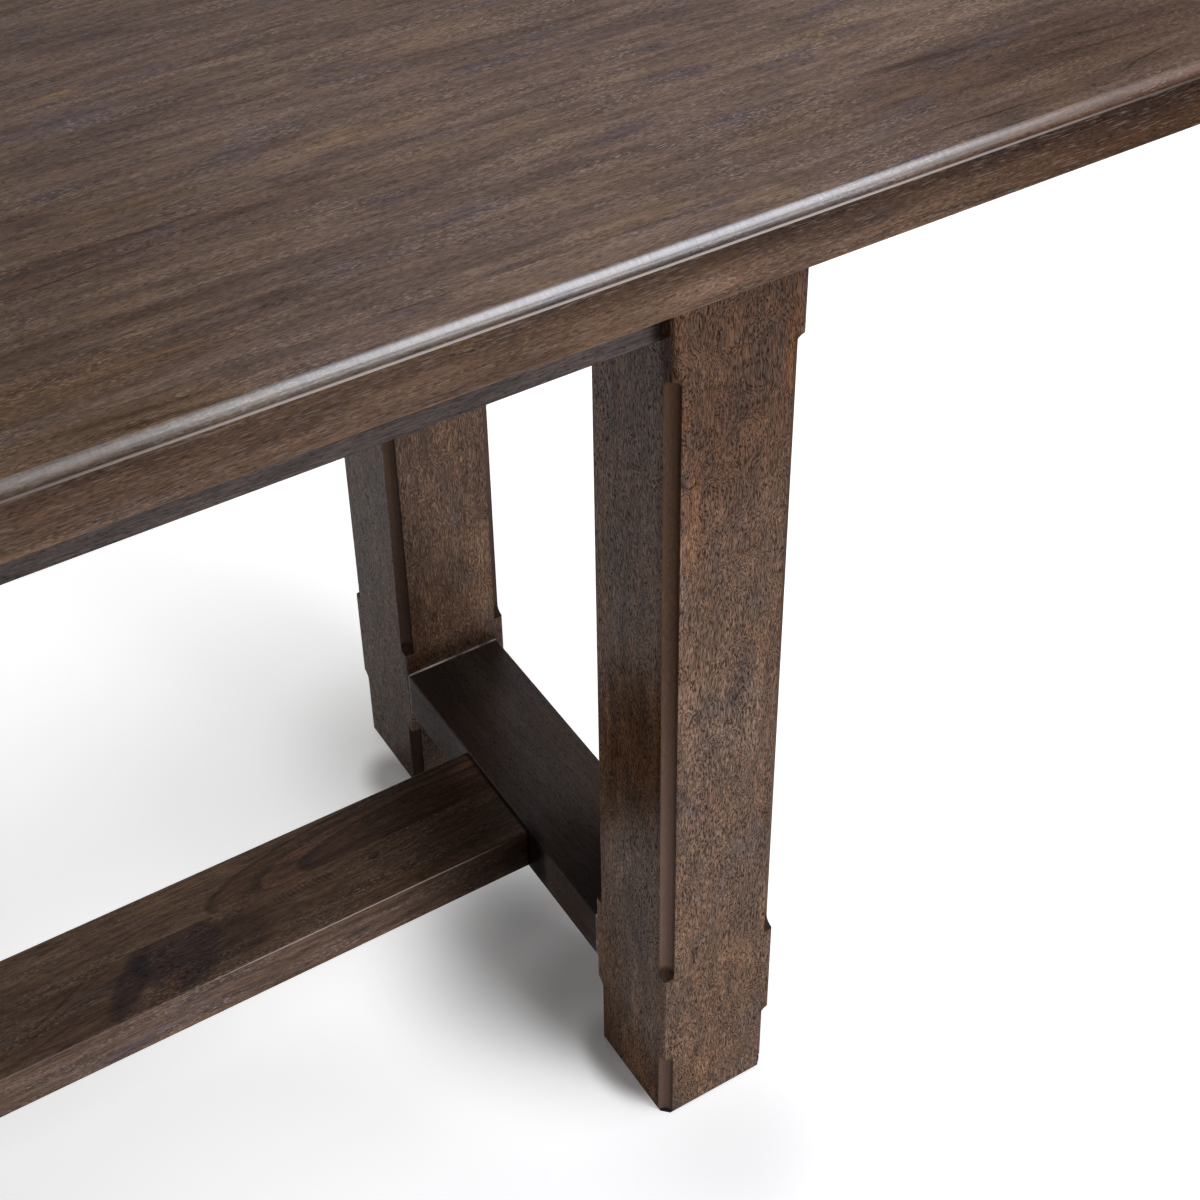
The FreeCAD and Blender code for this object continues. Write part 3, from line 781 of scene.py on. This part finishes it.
# %% Felt and steel
felt, shader, surface = new_finish("felt")
fuzz = shader.noise(shader.object_place(), (1500, 1500, 1500), 1.0, 3.0, 0.7)
shader.feed(surface.inputs["Base Color"], shader.mix(fuzz, (0.012, 0.010, 0.009), (0.035, 0.030, 0.027)))
surface.inputs["Roughness"].default_value = 0.95
surface.inputs["Specular IOR Level"].default_value = 0.1
pads = [name for name in nodes if name.startswith("foot_pad")]
for pad in pads:
    cover(pad, felt)

steel, shader, surface = new_finish("zinc_steel")
crystals = shader.noise(shader.object_place(), (900, 900, 900), 2.0, 3.0, 0.7)
shader.feed(surface.inputs["Base Color"], shader.mix(crystals, (0.42, 0.42, 0.41), (0.60, 0.60, 0.58)))
shader.feed(surface.inputs["Roughness"], crystals * 0.2 + 0.28)
surface.inputs["Metallic"].default_value = 1.0
cover("top_bolts", steel)
print("felt pads:", len(pads))

# %% [markdown]
# The studio is a white floor and a white world. The floor glows a little for the camera and for reflections
# only, so it reads as white paper and still takes the table's soft shadow. An even glow would wash that
# shadow out, so it weakens under the table and round the feet, where these shades paint shadow: each shade
# has a centre, a half size, a core and the share of the glow that it takes away.

# %% Floor
bpy.ops.object.select_all(action="DESELECT")
bpy.ops.mesh.primitive_plane_add(size=40, location=(0, 0, 0))
floor = bpy.context.object
floor.name = "floor"


def seen(shader):
    """1 for rays that end in the picture straight or by a mirror, 0 for rays that only carry light."""
    kinds = [shader.node("ShaderNodeLightPath", {}, {}, name)
             for name in ("Is Camera Ray", "Is Glossy Ray", "Is Transmission Ray")]
    return shader.math("MINIMUM", kinds[0] + kinds[1] + kinds[2], 1.0)


floor_glow = 0.75
shade_height = 100
trestle_shades = [
    ((420, -90), (240, 250), 0.2, 0.86),
    ((425, -160), (110, 110), 0.4, 0.58),
    ((400, -240), (48, 78), 0.5, 0.85),
    ((380, 228), (50, 58), 0.3, 0.7),
    ((410, -10), (130, 90), 0.2, 0.25),
    ((430, -400), (330, 260), 0.0, 0.5),
    ((330, 330), (480, 420), 0.0, 0.2),
    ((420, 250), (200, 220), 0.1, 0.4),
]
floor_shades = [((-80, -260), (480, 420), 0.5, 0.32)]
for side in (-1, 1):
    floor_shades += [((side * along, across), *rest) for (along, across), *rest in trestle_shades]

paper, shader, surface = new_finish("paper")
surface.inputs["Base Color"].default_value = (0.8, 0.8, 0.8, 1)
surface.inputs["Roughness"].default_value = 1.0
surface.inputs["Specular IOR Level"].default_value = 0.0
here = shader.object_place()
glow = seen(shader) * floor_glow
for centre, half_size, core, depth in floor_shades:
    shade = shader.spot(here, (*centre, 0), (*half_size, shade_height), core)
    glow = glow * (1 - shade * depth)
shader.feed(surface.inputs["Emission Color"], shader.scaled((1, 1, 1), glow))
surface.inputs["Emission Strength"].default_value = 1.0
floor.data.materials.append(paper)
print("shades on the floor:", len(floor_shades))

# %% [markdown]
# The world is white where it is seen and dim where it only lights, so the lamps do the lighting. The lacquer
# mirrors that white all round, which is what greys the faces that no lamp reaches.

# %% World
world = bpy.data.worlds.new("studio")
bpy.context.scene.world = world
world.use_nodes = True
shader = Shader(world.node_tree)
background = world.node_tree.nodes["Background"]
world_light = 0.10
shader.feed(background.inputs["Strength"], seen(shader) * (1 - world_light) + world_light)
background.inputs["Color"].default_value = (1, 1, 1, 1)
print("world light:", world_light)

# %% [markdown]
# The key is a long soft box that hangs to the right of the table: it is what the round edge mirrors as a
# broad silver band. A lower lamp in front reaches under the top, and a weak one at the left fills the faces
# that turn away. A last one, low behind the table, shows its back without a gleam on the top.

# %% Lamps
def lamp(name, direction, aim, distance, size, energy, colour=(1, 1, 1)):
    """A soft box at a distance from the point it is aimed at."""
    made = bpy.data.objects.new(name, bpy.data.lights.new(name, "AREA"))
    bpy.context.scene.collection.objects.link(made)
    made.location = Vector(aim) + Vector(direction).normalized() * distance
    made.rotation_euler = Vector(direction).to_track_quat("Z", "Y").to_euler()
    made.data.shape = "RECTANGLE"
    made.data.size, made.data.size_y = size
    made.data.energy = energy
    made.data.color = colour
    print("lamp", name, [round(value, 2) for value in made.location])


lamp("key", (0.49, 0, 0.87), (0.20, -0.85, 1.06), 1.85, (2.5, 1.1), 41, (0.95, 0.98, 1.07))
lamp("front", (0.397, -0.852, 0.342), (0.3, -0.3, 0.6), 3.0, (1.3, 1.2), 48)
lamp("fill", (-0.8, -0.5, 0.33), (0.4, 0, 0.5), 3.0, (2.4, 1.6), 13)
lamp("back", (0.35, 0.93, 0.05), (0, 0, 0.4), 3.2, (2.4, 0.8), 30)

bpy.context.scene.view_settings.view_transform = "Standard"
